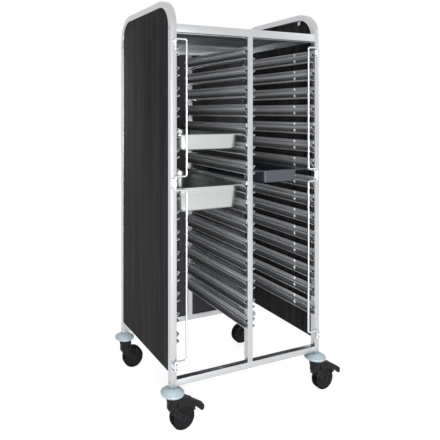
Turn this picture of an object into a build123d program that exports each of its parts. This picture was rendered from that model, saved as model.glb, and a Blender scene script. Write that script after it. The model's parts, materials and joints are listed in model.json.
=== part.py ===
"""Tray trolley with two stacks of gastronorm pans, after a photograph.

Two inverted U hoops of square tube carry laminate side panels, cross rails, centre posts, four columns
of folded runners, a folded top sheet, two swinging guard rods and four swivel casters, two with brakes.
The frame is in millimetres with +Z up. The origin is on the floor under the middle of the frame and the
open side faces -Y. Three casters trail towards +X and the back right one towards -X, as they stand in
the photograph.
"""
from build123d import *
import math
import os

# Overall sizes, as printed beside the photographed trolley
width = 740.0
depth = 550.0
height = 1700.0

# Working values shared by every piece
overrun = 5.0
seat_gap = 0.05
face_gap = 0.3
running_clearance = 0.08

# Square tube of the hoops, posts and lower rails
tube = 25.0
tube_wall = 1.5
hoop_radius = 110.0
foot_height = 168.0

# Cross rails
lower_rail_top = 203.0
top_rail_height = 32.0
top_rail_drop = 104.0
back_rail_height = 40.0
back_rail_drop = 12.0
rail_end_plate = 3.0

# Bolts that hold the rails to the hoops and the centre posts to the rails
bolt_radius = 3.0
bolt_hole_clearance = 0.15
bolt_head_radius = 5.0
bolt_head_height = 2.5
bolt_grip = 9.0

# Laminate panels
panel_thickness = 5.0
panel_recess = 2.0
panel_fit = 0.3
side_panel_bottom = 227.0
clip_size = 18.0
clip_width = 14.0
clip_thickness = 1.5
clip_level_shares = (0.12, 0.5, 0.86)

# Folded top sheet with its stiffening swage
sheet = 1.2
top_sheet_flange = 34.0
top_sheet_back_flange = 12.0
swage_width = 46.0
swage_depth = 2.4
swage_side = 3.0

# Runners: one folded section with two noses, each a ledge that a pan's rim hooks over
runner_sheet = 1.2
runner_pitch = 80.5
runner_first_drop = 40.0
runner_lowest_space = 110.0
runner_flange = 15.5
nose_reach = 14.0
nose_fall = 1.5
nose_tip = 2.0
upper_nose_height = 15.5
valley_height = 14.5
lower_nose_height = 7.0
runner_front_inset = 5.0
runner_back_gap = 1.5

# Guard rods and their brackets
rod_radius = 4.0
rod_bend_radius = 7.0
guard_arm = 48.5
guard_pivot_inset = 4.5
guard_stand_off = 2.0
guard_top_drop = 164.5
guard_bottom_rise = 72.0
guard_split_share = 0.552
guard_split = 54.0
guard_top_pin = 44.0
guard_end_pin = 36.0
bracket_thickness = 2.0
bracket_width = 23.0
bracket_reach = 14.0
top_bracket_height = 33.0
bottom_bracket_height = 22.0

# Gastronorm pans
pan_width = 325.0
pan_length = 530.0
pan_sheet = 1.2
pan_rim = 14.0
pan_rim_lip = 2.0
pan_rim_corner = 22.0
pan_corner = 45.0
pan_taper = 7.0
pan_floor_radius = 14.0
shallow_pan_depth = 65.0
deep_pan_depth = 100.0
shoulder_drop = 26.0
shoulder_step = 2.5
pan_back_gap = 3.0

# The tray in the right bay: a narrower body hung between two wide side flanges
tray_depth = 55.0
tray_flange = 73.0
tray_corner = 14.0
tray_floor_radius = 9.0

# Levels of the pans, counted down from the top runner
left_shallow_level_count = 5
left_deep_level_count = 8
right_tray_level_count = 7

# Casters
wheel_radius = 50.0
wheel_width = 30.0
tyre_depth = 6.0
tyre_crown = 3.0
hub_radius = 13.0
wheel_face_dish = 2.0
wheel_face_radius_share = 0.9
axle_radius = 4.0
axle_head_radius = 7.0
axle_head_height = 2.5
caster_trail = 42.0
housing_width = 44.0
housing_edge_radius = 2.5
housing_top = 141.5
neck_top_radius = 27.0
neck_radius = 22.0
neck_foot_radius = 10.5
neck_waist = (90.0, 112.0)
neck_foot = 76.0
well_clearance = 2.5
well_side_clearance = 1.0
hood_wall = 3.5
hood_opening_radius = 46.0
hood_foot = 72.0
hood_end_x = 92.0
hood_end_z = 106.0
arm_boss_radius = 13.0
arm_root_angle = 122.0
right_angle = 90.0
back_right_turn_angle = 180.0
stem_radius = 6.0
stem_depth = 30.0
stem_plug_length = 60.0
race_radius = 20.0
race_thickness = 2.7
bumper_radius = 47.0
bumper_rim = 13.0
bumper_flat_radius = 19.0
bumper_swell = 2.0

# Brake pedals of the two front casters
pedal_width = 26.0
pedal_pivot = (80.0, 102.0)
pedal_pin_radius = 2.5
pedal_root = (70.0, 118.0)
pedal_heel = (70.0, 98.0)
pedal_brow_drop = 0.5
pedal_tip = (128.0, 70.0)
pedal_tip_radius = 12.0
pedal_under = (98.0, 80.0)
pedal_gap = 1.5
pedal_corner = 8.0
shoe_place = (86.5, 86.5)
shoe_radius = 4.3

# Heights and places that follow from the sizes above
top_rail_top = height - top_rail_drop
top_rail_bottom = top_rail_top - top_rail_height
back_rail_top = top_rail_top - back_rail_drop
back_rail_bottom = back_rail_top - back_rail_height
lower_rail_bottom = lower_rail_top - tube
post_x = width / 2 - tube / 2
post_y = depth / 2 - tube / 2
inner_x = width / 2 - tube
inner_y = depth / 2 - tube
bay_low = tube / 2
bay_middle = (bay_low + inner_x) / 2
back_panel_face = depth / 2 - panel_recess - panel_thickness
runner_height = runner_flange + upper_nose_height + valley_height + lower_nose_height
first_runner_top = top_rail_bottom - runner_first_drop
lowest_runner_top = lower_rail_top + runner_lowest_space + runner_height
level_count = int((first_runner_top - lowest_runner_top) / runner_pitch) + 1
low_corner = (Align.MIN, Align.MIN, Align.MIN)


def block(low, high):
    """A box between two corners."""
    size = [b - a for a, b in zip(low, high)]
    return Pos(*low) * Box(*size, align=low_corner)


def rod(start, end, radius):
    """A round bar from one point to another."""
    way = Vector(*end) - Vector(*start)
    return extrude(Plane(origin=start, z_dir=way) * Circle(radius), way.length)


def mirror_x(piece):
    """The same piece on the other side of the trolley's middle plane."""
    return mirror(piece, about=Plane.YZ)


def sheet_section(points, thickness):
    """A folded sheet's outline: the points are its visible side and the metal lies to their right."""
    line = Polyline(*points)
    return make_face(offset(line, thickness, side=Side.RIGHT, kind=Kind.INTERSECTION))


def runner_top(level):
    """Height of the top edge of the runner at a level counted from the top."""
    return first_runner_top - (level - 1) * runner_pitch


# Frame

def arch(inset, low):
    """The area under a hoop's outline, drawn in by an inset, down to a height."""
    half = depth / 2 - inset
    top = height - inset
    area = Pos(0, (low + top) / 2) * Rectangle(2 * half, top - low)
    corners = area.vertices().group_by(Axis.Y)[-1]
    return fillet(corners, hoop_radius - inset)


def hoop():
    """The right-hand hoop: a square tube bent into an inverted U, open at both feet."""
    plane = Plane.YZ.offset(width / 2 - tube)
    outer = arch(0, foot_height) - arch(tube, foot_height - overrun)
    bore = arch(tube_wall, foot_height - overrun) - arch(tube - tube_wall, foot_height - 2 * overrun)
    body = extrude(plane * outer, tube)
    body -= extrude(plane.offset(tube_wall) * bore, tube - 2 * tube_wall)
    return body - bolt_holes()


def bolt_places():
    """Where the cross bolts run: (y, z) of each rail's end on one hoop."""
    return [
        (-post_y, (top_rail_top + top_rail_bottom) / 2),
        (post_y, (back_rail_top + back_rail_bottom) / 2),
        (-post_y, (lower_rail_top + lower_rail_bottom) / 2),
        (post_y, (lower_rail_top + lower_rail_bottom) / 2),
    ]


def bolt_holes():
    """Cutters for the cross bolts through one hoop and the rail ends behind it."""
    cutters = Part()
    for y, z in bolt_places():
        cutters += rod((inner_x - overrun, y, z), (width / 2 + overrun, y, z), bolt_radius + bolt_hole_clearance)
    return cutters


def cross_rail(y, low, high):
    """A rail between the hoops: a tube closed by an end plate that each cross bolt screws into."""
    half = tube / 2
    body = block((-inner_x, y - half, low), (inner_x, y + half, high))
    inside = inner_x - rail_end_plate
    body -= block((-inside, y - half + tube_wall, low + tube_wall), (inside, y + half - tube_wall, high - tube_wall))
    middle = (low + high) / 2
    hole = bolt_radius + seat_gap
    body -= rod((-width / 2, y, middle), (width / 2, y, middle), hole)
    body -= rod((0, y, low - overrun), (0, y, high + overrun), hole)
    return body


def centre_post(y, low, high):
    """A tube between the rails, with end plates for the bolts through them."""
    half = tube / 2
    body = block((-half, y - half, low), (half, y + half, high))
    bore = half - tube_wall
    body -= block((-bore, y - bore, low + rail_end_plate), (bore, y + bore, high - rail_end_plate))
    return body - rod((0, y, low - overrun), (0, y, high + overrun), bolt_radius + seat_gap)


def bolt(head_side, way, grip):
    """A round-headed bolt, from the face that its head sits on, along a direction."""
    start = Vector(*head_side)
    along = Vector(*way)
    shank = rod(start, start + along * grip, bolt_radius)
    head = extrude(Plane(origin=start, z_dir=-along) * Circle(bolt_head_radius), bolt_head_height, taper=25)
    return shank + head


def frame_bolts():
    """Cross bolts through the hoops, and upright bolts through the rails into the centre posts."""
    bolts = []
    for y, z in bolt_places():
        right = bolt((width / 2, y, z), (-1, 0, 0), tube + bolt_grip)
        bolts += [right, mirror_x(right)]
    for y, high in ((-post_y, top_rail_top), (post_y, back_rail_top)):
        rail_height = top_rail_height if y < 0 else back_rail_height
        bolts.append(bolt((0, y, high), (0, 0, -1), rail_height + bolt_grip))
        bolts.append(bolt((0, y, lower_rail_bottom), (0, 0, 1), tube + bolt_grip))
    return bolts


# Panels

def side_panel():
    """The right-hand laminate panel, cut to the inside of the hoop and open below."""
    outline = arch(tube + panel_fit, side_panel_bottom)
    return extrude(Plane.YZ.offset(width / 2 - panel_recess - panel_thickness) * outline, panel_thickness)


def back_panel():
    """The right-hand back panel, between the hoop, the centre post and the two back rails."""
    low = (bay_low + panel_fit, back_panel_face, lower_rail_top + panel_fit)
    high = (inner_x - panel_fit, back_panel_face + panel_thickness, back_rail_bottom - panel_fit)
    return block(low, high)


def top_sheet():
    """A folded sheet between the hoops, turned down all round, with a pressed swage along its middle."""
    half = inner_y
    groove = swage_width / 2
    step = groove + swage_side
    top = top_rail_top
    front = [(-half, top - top_sheet_flange), (-half, top), (-step, top), (-groove, top - swage_depth)]
    back = [(groove, top - swage_depth), (step, top), (half, top), (half, top - top_sheet_back_flange)]
    body = extrude(Plane.YZ.offset(-inner_x) * sheet_section(front + back, sheet), 2 * inner_x)
    for side in (-1, 1):
        outer = side * inner_x
        inner = side * (inner_x - sheet)
        ends = sorted((outer, inner))
        body += block(
            (ends[0], -half + sheet, top - top_sheet_flange),
            (ends[1], half - sheet, top - swage_depth - sheet / 2),
        )
    return body


def angle_clip():
    """A small angle, in a corner at the origin: one leg along -X, the other along -Z."""
    corner = [(-clip_size, 0), (0, 0), (0, -clip_size)]
    outline = sheet_section(corner, clip_thickness)
    return extrude(Plane.XZ.offset(-clip_width / 2) * outline, clip_width)


def panel_clips():
    """Angles that hold each side panel to its hoop, from inside."""
    panel_face = width / 2 - panel_recess - panel_thickness
    under = height - tube
    rise = under - side_panel_bottom
    straight = depth / 2 - hoop_radius - clip_width
    clips = []
    for place in (-straight, straight):
        clips.append(Pos(panel_face, place, under) * angle_clip())
    for level in clip_level_shares:
        for side in (-1, 1):
            corner = Pos(panel_face, side * inner_y, side_panel_bottom + level * rise)
            clips.append(corner * Rot(-side * 90, 0, 0) * angle_clip())
    return clips + [mirror_x(clip) for clip in clips]


# Runners

def runner_points():
    """The runner's visible side: distance from the post, and height below the runner's top edge."""
    upper_low = runner_flange + upper_nose_height
    valley_low = upper_low + valley_height
    return [
        (runner_sheet, 0),
        (runner_sheet, -runner_flange),
        (nose_reach, -runner_flange - nose_fall),
        (nose_reach, -runner_flange - nose_fall - nose_tip),
        (runner_sheet, -upper_low),
        (runner_sheet, -valley_low),
        (nose_reach, -valley_low - nose_fall),
        (nose_reach, -valley_low - nose_fall - nose_tip),
        (runner_sheet, -valley_low - lower_nose_height),
    ]


def seat_height(nose):
    """How far below a runner's top edge a pan's rim comes to rest, on nose 0 (upper) or 1 (lower)."""
    edge = (inner_x - bay_low - pan_width) / 2
    points = runner_points()
    (near, high), (far, low) = points[1 + 4 * nose], points[2 + 4 * nose]
    return high + (edge - near) / (far - near) * (low - high)


def runner_column(post_face, way):
    """Every runner of one column, on a post face, facing along X by way."""
    outline = sheet_section(runner_points(), runner_sheet)
    if way < 0:
        outline = mirror(outline, about=Plane.YZ)
    front = -depth / 2 + runner_front_inset
    back = back_panel_face - runner_back_gap
    runner = extrude(Plane.XZ.offset(-back) * outline, back - front)
    return [Pos(post_face, 0, runner_top(level + 1)) * runner for level in range(level_count)]


# Guard rods

guard_y = -depth / 2 - guard_stand_off - rod_radius
guard_x = post_x - guard_pivot_inset
guard_top = height - guard_top_drop
guard_bottom = lower_rail_top + guard_bottom_rise
guard_middle = guard_bottom + guard_split_share * (guard_top - guard_bottom)


def guard_rod():
    """The right-hand guard: one bent rod with two loops, on three pivots in line."""
    inboard = guard_x - guard_arm
    upper_end = guard_middle + guard_split / 2
    lower_start = guard_middle - guard_split / 2
    stops = [
        (guard_x, guard_top - guard_top_pin),
        (guard_x, guard_top),
        (inboard, guard_top),
        (inboard, upper_end),
        (guard_x, upper_end),
        (guard_x, lower_start),
        (inboard, lower_start),
        (inboard, guard_bottom),
        (guard_x, guard_bottom),
        (guard_x, guard_bottom - guard_end_pin),
    ]
    path = FilletPolyline(*[(x, guard_y, z) for x, z in stops], radius=rod_bend_radius)
    start = Plane(origin=path @ 0, z_dir=path % 0)
    return sweep(start * Circle(rod_radius), path)


def guard_bracket(low, ear_top):
    """A bracket bent from strip: a web on the post and two ears that the rod turns in."""
    face = -depth / 2
    outer = width / 2 - face_gap
    body = block((outer - bracket_width, face - bracket_reach, low), (outer, face, ear_top))
    body -= block(
        (outer - bracket_width - overrun, face - bracket_reach - overrun, low + bracket_thickness),
        (outer + overrun, face - bracket_thickness, ear_top - bracket_thickness),
    )
    hole = rod_radius + running_clearance
    return body - rod((guard_x, guard_y, low - overrun), (guard_x, guard_y, ear_top + overrun), hole)


def guard_brackets():
    """Three brackets on each front post."""
    drop = rod_bend_radius + face_gap
    half = guard_split / 2 - drop
    brackets = [
        guard_bracket(guard_top - drop - top_bracket_height, guard_top - drop),
        guard_bracket(guard_middle - half, guard_middle + half),
        guard_bracket(guard_bottom - drop - bottom_bracket_height, guard_bottom - drop),
    ]
    return brackets + [mirror_x(bracket) for bracket in brackets]


# Pans

def rounded(wide, long, radius, z):
    """A rectangle with round corners at a height."""
    return Pos(0, 0, z) * RectangleRounded(wide, long, radius)


def pan_body(form, skin):
    """The filled shape of a pan below its rim, drawn in by a skin, with its floor's edge rounded."""
    pan_depth, flange, corner, floor_radius, shoulder = form
    top_wide = pan_width - 2 * flange - 2 * skin
    top_long = pan_length - 2 * pan_rim - 2 * skin
    radius = corner - skin
    start = -shoulder_drop + skin if shoulder else 0
    step = shoulder_step if shoulder else 0
    floor = -pan_depth + skin
    shrink = 2 * (step + pan_taper)
    lower = loft([
        rounded(top_wide - 2 * step, top_long - 2 * step, radius - step, start),
        rounded(top_wide - shrink, top_long - shrink, radius - step - pan_taper / 2, floor),
    ])
    rim_of_floor = lower.edges().group_by(Axis.Z)[0]
    lower = fillet(rim_of_floor, floor_radius - skin)
    if shoulder:
        lower += extrude(rounded(top_wide, top_long, radius, start), shoulder_drop)
    return lower


def pan(form):
    """An open pan, its rim turned down at the edge; the origin is in the middle of the rim's underside."""
    lip = rounded(pan_width, pan_length, pan_rim_corner, -pan_rim_lip)
    body = extrude(lip, pan_rim_lip + pan_sheet)
    inner = rounded(
        pan_width - 2 * pan_sheet, pan_length - 2 * pan_sheet, pan_rim_corner - pan_sheet, -pan_rim_lip
    )
    body -= extrude(inner, pan_rim_lip)
    body += pan_body(form, 0)
    pan_depth, flange, corner, floor_radius, shoulder = form
    mouth_wide = pan_width - 2 * flange - 2 * pan_sheet
    mouth_long = pan_length - 2 * pan_rim - 2 * pan_sheet
    body -= extrude(rounded(mouth_wide, mouth_long, corner - pan_sheet, 0), pan_sheet + overrun)
    return body - pan_body(form, pan_sheet)


def pan_place(side, level, nose):
    """Where a pan's origin comes: the bay's middle, and the height of the nose that carries its rim."""
    y = back_panel_face - pan_back_gap - pan_length / 2
    z = runner_top(level) + seat_height(nose) + pan_rim_lip + face_gap
    return Pos(side * bay_middle, y, z)


# Casters, each built about its own swivel axis, with the floor at zero height

wheel_x = caster_trail
wheel_z = wheel_radius
hood_radius = wheel_radius + well_clearance + hood_wall


def turned(profile, at, z_dir):
    """A body turned about an axis through a place, from a profile of (radius, place along the axis)."""
    plane = Plane(origin=at, x_dir=(1, 0, 0), z_dir=z_dir)
    half = Plane(origin=at, x_dir=(1, 0, 0), z_dir=-plane.y_dir)
    return revolve(half * profile, axis=Axis(at, z_dir))


def across(half, x, z, radius):
    """A round bar across the caster, reaching as far to each side."""
    return rod((x, -half, z), (x, half, z), radius)


def tyre():
    """The rubber tyre, with its edges taken off."""
    half = wheel_width / 2
    inner = wheel_radius - tyre_depth + seat_gap
    low = (inner + wheel_radius) / 2
    section = Pos(low, 0) * Rectangle(wheel_radius - inner, wheel_width)
    outside = section.vertices().group_by(Axis.X)[-1]
    return turned(chamfer(outside, tyre_crown), (wheel_x, 0, wheel_z), (0, 1, 0))


def wheel_core():
    """The wheel's body: a hub, and a rim with a dished face on each side."""
    half = wheel_width / 2
    rim = wheel_radius - tyre_depth
    face = rim * wheel_face_radius_share
    dish = half - wheel_face_dish
    hub_half = half + well_side_clearance / 2
    bore = axle_radius + running_clearance
    side = [
        (bore, hub_half),
        (hub_radius, hub_half),
        (hub_radius + wheel_face_dish, dish),
        (face, dish),
        (face + wheel_face_dish, half),
        (rim, half),
    ]
    other = [(radius, -place) for radius, place in reversed(side)]
    section = make_face(Polyline(*side, *other, close=True))
    return turned(section, (wheel_x, 0, wheel_z), (0, 1, 0))


def axle():
    """The axle bolt, with a flat head on each side of the housing."""
    half = housing_width / 2
    body = across(half, wheel_x, wheel_z, axle_radius)
    for side in (-1, 1):
        ends = sorted((side * half, side * (half + axle_head_height)))
        body += rod((wheel_x, ends[0], wheel_z), (wheel_x, ends[1], wheel_z), axle_head_radius)
    return body


def stem():
    """The fixed stem: a square plug in the post, the swivel pin and the upper race under the bumper."""
    half = tube / 2 - tube_wall - seat_gap
    race_low = housing_top + face_gap
    body = block((-half, -half, foot_height), (half, half, foot_height + stem_plug_length))
    body += rod((0, 0, housing_top - stem_depth), (0, 0, foot_height), stem_radius)
    body += rod((0, 0, race_low), (0, 0, race_low + race_thickness), race_radius)
    bolt_height = (lower_rail_top + lower_rail_bottom) / 2
    hole = bolt_radius + bolt_hole_clearance
    return body - rod((-tube, 0, bolt_height), (tube, 0, bolt_height), hole)


def bumper():
    """The round plastic buffer between the post's foot and the caster: a dome with a rolled rim."""
    low = housing_top + face_gap + race_thickness
    bore = stem_radius + seat_gap
    rim = bumper_rim / 2
    shoulder = bumper_radius - rim
    rim_top = low + bumper_rim
    rise = foot_height - rim_top
    swell = ((shoulder + bumper_flat_radius) / 2, rim_top + rise / 2 + bumper_swell)
    edge = ThreePointArc((shoulder, low), (bumper_radius, low + rim), (shoulder, rim_top))
    dome = ThreePointArc((shoulder, rim_top), swell, (bumper_flat_radius, foot_height))
    bottom = Polyline((bumper_flat_radius, foot_height), (bore, foot_height), (bore, low), (shoulder, low))
    return turned(make_face(edge + dome + bottom), (0, 0, 0), (0, 0, 1))


def on_wheel(radius, degrees):
    """A point around the wheel's centre, in the housing's side view."""
    turn = math.radians(degrees)
    return wheel_x + radius * math.cos(turn), wheel_z + radius * math.sin(turn)


def housing_side(braked):
    """The housing from the side: a hood over the wheel, a boss round the axle and an arm between them."""
    top = (neck_radius, housing_top)
    hood = Pos(wheel_x, wheel_z) * Circle(hood_radius)
    away = math.hypot(top[0] - wheel_x, top[1] - wheel_z)
    lean = math.atan2(top[1] - wheel_z, top[0] - wheel_x) - math.acos(hood_radius / away)
    end = [on_wheel(hood_radius, math.degrees(lean))]
    if braked:
        end = [(hood_end_x, hood_foot), (hood_end_x, hood_end_z)]
    hood += Polygon((wheel_x, wheel_z), *end, top, (0, housing_top), align=None)
    reach = 2 * hood_radius
    above = Pos(wheel_x, hood_foot + reach / 2) * Rectangle(2 * reach, reach)
    hood = (hood & above) - Pos(wheel_x, wheel_z) * Circle(hood_opening_radius)
    foot = 180 - math.degrees(math.asin((hood_foot - wheel_z) / hood_radius))
    arm = Polygon(
        on_wheel(hood_radius, foot),
        on_wheel(arm_boss_radius, foot + right_angle),
        on_wheel(arm_boss_radius, arm_root_angle - right_angle),
        on_wheel(hood_opening_radius + hood_wall, arm_root_angle),
        align=None,
    )
    return hood + arm + Pos(wheel_x, wheel_z) * Circle(arm_boss_radius)


def housing(braked):
    """The swivelling housing: a hood and two cheeks round the wheel, and a round neck on the swivel pin."""
    half = housing_width / 2
    body = extrude(Plane.XZ.offset(-half) * housing_side(braked), housing_width)
    sides = body.faces().group_by(Axis.Y)
    body = fillet(sides[0].edges() + sides[-1].edges(), housing_edge_radius)
    neck = Polygon(
        (0, neck_foot),
        (neck_foot_radius, neck_foot),
        (neck_radius, neck_waist[0]),
        (neck_radius, neck_waist[1]),
        (neck_top_radius, housing_top),
        (0, housing_top),
        align=None,
    )
    body += turned(neck, (0, 0, 0), (0, 0, 1))
    body -= across(wheel_width / 2 + well_side_clearance, wheel_x, wheel_z, wheel_radius + well_clearance)
    body -= across(housing_width, wheel_x, wheel_z, axle_radius + seat_gap)
    hole = stem_radius + running_clearance
    body -= rod((0, 0, housing_top - stem_depth - face_gap), (0, 0, housing_top + overrun), hole)
    if braked:
        body -= pedal_slot()
        body -= across(housing_width, *pedal_pivot, pedal_pin_radius + running_clearance)
    return body


def pedal_slot():
    """The slot in the hood's end, with room for the pedal to turn."""
    half = pedal_width / 2 + face_gap
    return block((pedal_root[0] - pedal_gap, -half, hood_foot - overrun), (width, half, housing_top + overrun))


def pedal():
    """The brake pedal: a tongue with a shoe under its root, turning on a pin in the hood's cheeks."""
    brow = (hood_end_x, hood_end_z - pedal_brow_drop)
    tip_x, tip_z = pedal_tip
    slope = math.atan2(tip_z - pedal_under[1], tip_x - pedal_under[0])
    across_tip = (pedal_tip_radius * math.sin(slope), pedal_tip_radius * math.cos(slope))
    side = Polygon(
        pedal_heel,
        shoe_place,
        pedal_under,
        (tip_x + across_tip[0], tip_z - across_tip[1]),
        (tip_x - across_tip[0], tip_z + across_tip[1]),
        brow,
        pedal_root,
        align=None,
    )
    side += Pos(*pedal_tip) * Circle(pedal_tip_radius)
    side += Pos(*shoe_place) * Circle(shoe_radius)
    half = pedal_width / 2
    body = extrude(Plane.XZ.offset(-half) * side, pedal_width)
    end = pedal_tip[0] + pedal_tip_radius
    length = end - pedal_heel[0] + overrun
    plan = Pos(end - length / 2, 0, hood_foot - wheel_radius) * Rectangle(length, pedal_width)
    plan = fillet(plan.vertices().group_by(Axis.X)[-1], pedal_corner)
    body &= extrude(plan, housing_top)
    return body + across(housing_width / 2, *pedal_pivot, pedal_pin_radius)


# The trolley

def trolley():
    """Every node's solids, in place."""
    nodes = {
        "right_side_hoop": [hoop()],
        "front_top_rail": [cross_rail(-post_y, top_rail_bottom, top_rail_top)],
        "back_top_rail": [cross_rail(post_y, back_rail_bottom, back_rail_top)],
        "front_bottom_rail": [cross_rail(-post_y, lower_rail_bottom, lower_rail_top)],
        "back_bottom_rail": [cross_rail(post_y, lower_rail_bottom, lower_rail_top)],
        "front_centre_post": [centre_post(-post_y, lower_rail_top, top_rail_bottom)],
        "back_centre_post": [centre_post(post_y, lower_rail_top, back_rail_bottom)],
        "frame_bolts": frame_bolts(),
        "right_side_panel": [side_panel()],
        "right_back_panel": [back_panel()],
        "panel_clips": panel_clips(),
        "top_sheet": [top_sheet()],
        "right_guard_rod": [guard_rod()],
        "guard_brackets": guard_brackets(),
        "right_inner_runners": runner_column(bay_low, 1),
        "right_outer_runners": runner_column(inner_x, -1),
    }
    for name in ("side_hoop", "side_panel", "back_panel", "guard_rod", "inner_runners", "outer_runners"):
        nodes["left_" + name] = [mirror_x(piece) for piece in nodes["right_" + name]]
    shallow = pan((shallow_pan_depth, pan_rim, pan_corner, pan_floor_radius, False))
    deep = pan((deep_pan_depth, pan_rim, pan_corner, pan_floor_radius, True))
    tray = pan((tray_depth, tray_flange, tray_corner, tray_floor_radius, False))
    nodes["left_shallow_pan"] = [pan_place(-1, left_shallow_level_count, 1) * shallow]
    nodes["left_deep_pan"] = [pan_place(-1, left_deep_level_count, 0) * deep]
    nodes["right_shallow_pan"] = [pan_place(1, right_tray_level_count, 1) * tray]
    plain = {
        "caster_stem": stem(),
        "caster_bumper": bumper(),
        "wheel": wheel_core(),
        "tyre": tyre(),
        "axle": axle(),
    }
    fronts = dict(plain, caster_housing=housing(True), brake_pedal=pedal())
    backs = dict(plain, caster_housing=housing(False))
    turns = {"back_right": back_right_turn_angle}
    for end, y, pieces in (("front", -post_y, fronts), ("back", post_y, backs)):
        for side, x in (("left", -post_x), ("right", post_x)):
            turn = Rot(0, 0, turns.get(f"{end}_{side}", 0))
            for name, piece in pieces.items():
                nodes[f"{end}_{side}_{name}"] = [Pos(x, y, 0) * turn * piece]
    return nodes


if __name__ == "__main__":
    os.makedirs("parts", exist_ok=True)
    for name, solids in trolley().items():
        export_step(Compound(children=solids), f"parts/{name}.step")
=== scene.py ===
"""Looks of the tray trolley: finishes, rounded edges, open forks, folded runners, fasteners and the stage."""

import json
import math

import bmesh
import bpy
from bpy.props import FloatProperty, FloatVectorProperty, IntProperty, PointerProperty, StringProperty
from mathutils import Matrix, Vector


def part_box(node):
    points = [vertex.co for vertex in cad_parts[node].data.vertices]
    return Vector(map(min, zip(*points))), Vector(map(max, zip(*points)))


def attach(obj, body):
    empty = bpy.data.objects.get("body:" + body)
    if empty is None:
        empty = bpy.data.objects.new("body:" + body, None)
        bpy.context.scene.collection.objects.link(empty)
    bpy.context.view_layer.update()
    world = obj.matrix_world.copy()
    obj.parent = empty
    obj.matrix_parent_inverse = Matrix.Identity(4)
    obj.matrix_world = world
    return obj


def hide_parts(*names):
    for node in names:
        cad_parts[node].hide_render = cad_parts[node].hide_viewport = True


bl_info = {
    "name": "Tray trolley looks",
    "version": (1, 0, 0),
    "blender": (4, 5, 0),
    "location": "View3D > Sidebar > Tray trolley",
    "description": "Dresses the tray trolley with its finishes, runners, fasteners and studio",
    "category": "Object",
}

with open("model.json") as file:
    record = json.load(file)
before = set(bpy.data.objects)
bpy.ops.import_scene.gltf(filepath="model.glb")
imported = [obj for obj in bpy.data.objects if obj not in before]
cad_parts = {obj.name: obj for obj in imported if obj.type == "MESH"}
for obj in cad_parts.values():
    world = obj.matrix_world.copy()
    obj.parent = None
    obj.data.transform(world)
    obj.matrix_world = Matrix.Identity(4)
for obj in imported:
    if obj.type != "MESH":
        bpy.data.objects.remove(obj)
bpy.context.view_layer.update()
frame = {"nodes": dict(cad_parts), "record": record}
SLOT_OF = {entry["node"]: entry["material_slot"] for entry in frame["record"]["subparts"]}
BODY_OF = {node: body for body, nodes in frame["record"]["behaviour"]["bodies"].items() for node in nodes}
MM = 0.001
SIDES = {"left": -1, "right": 1}
RAILS = ("front_top_rail", "back_top_rail", "front_bottom_rail", "back_bottom_rail")
# Columns of runners, and the way along X that each one faces
COLUMNS = {
    "left_outer_runners": 1,
    "left_inner_runners": -1,
    "right_inner_runners": 1,
    "right_outer_runners": -1,
}


def box_mm(node):
    """Lowest and highest corner of a node, in millimetres."""
    return [[round(c / MM, 2) for c in corner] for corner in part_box(node)]


RUNNERS_LOW, RUNNERS_HIGH = box_mm("left_outer_runners")


# The values that a user can change

def mm(name, description, default):
    """A length in millimetres."""
    return FloatProperty(name=name, description=description, default=default, precision=2)


def srgb(name, description, default):
    """A colour, as an sRGB hex value."""
    return StringProperty(name=name, description=description, default=default)


def fraction(name, description, default):
    """A value from nought to one."""
    return FloatProperty(name=name, description=description, default=default, min=0, max=1)


def watts(name, description, default):
    """A lamp's power."""
    return FloatProperty(name=name, description=description, default=default, unit="POWER")


class TrolleyFinishes(bpy.types.PropertyGroup):
    """Colours and roughness of the trolley's materials."""

    tube_steel: srgb("Tube steel", "Satin stainless of the tubes and rails", "C5C7C9")
    top_steel: srgb("Top steel", "Satin stainless of the top sheet", "96999B")
    sheet_steel: srgb("Sheet steel", "Bright rolled stainless of runners and brackets", "DCDFE2")
    laminate: srgb("Laminate", "Ground colour of the black laminate", "19191B")
    laminate_grain: srgb("Laminate grain", "Lighter lines of the printed wood grain", "302F31")
    # The back panels are the same black laminate as the sides, made lighter as painted light inside the bays
    back: srgb("Back panels", "Ground colour of the back panels' laminate", "2C2C2E")
    back_grain: srgb("Back panels' grain", "Lighter lines of the back panels' printed grain", "3A393B")
    pan_steel: srgb("Pan steel", "Deep-drawn stainless of the pans", "B9BBBB")
    enamel: srgb("Enamel", "Dark blue-grey enamel of the right bay's tray", "2F363D")
    bumper: srgb("Bumpers", "Pale blue-grey plastic of the bumper discs", "98A7AE")
    nylon: srgb("Caster nylon", "Black moulded nylon of housings and pedals", "19191B")
    wheel: srgb("Wheel body", "Dark grey plastic of the wheel bodies", "151517")
    tyre: srgb("Tyres", "Black rubber of the tyres", "050506")
    zinc: srgb("Zinc", "Zinc plating of bolts and screws", "A9ADB0")
    # White of the outer runners' rivets: painted highlights where light glints on the runners
    blasted: srgb("Glint white", "Bead-blasted rivets on the outer runners", "FFFFFF")
    axle: srgb("Axles", "Blackened steel of the wheel axles", "2A2A2C")
    # The screws' drives are dark hexagons: painted shade of a sunk drive
    recess: srgb("Screw recess", "Shadowed drive of each screw head", "1C1D1F")
    tube_roughness: fraction("Tube roughness", "Roughness of the satin tubes", 0.34)
    sheet_roughness: fraction("Sheet roughness", "Roughness of the bright sheet", 0.26)
    sheet_metallic: fraction("Sheet metallic", "How far the rolled sheet mirrors", 0.5)


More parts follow.
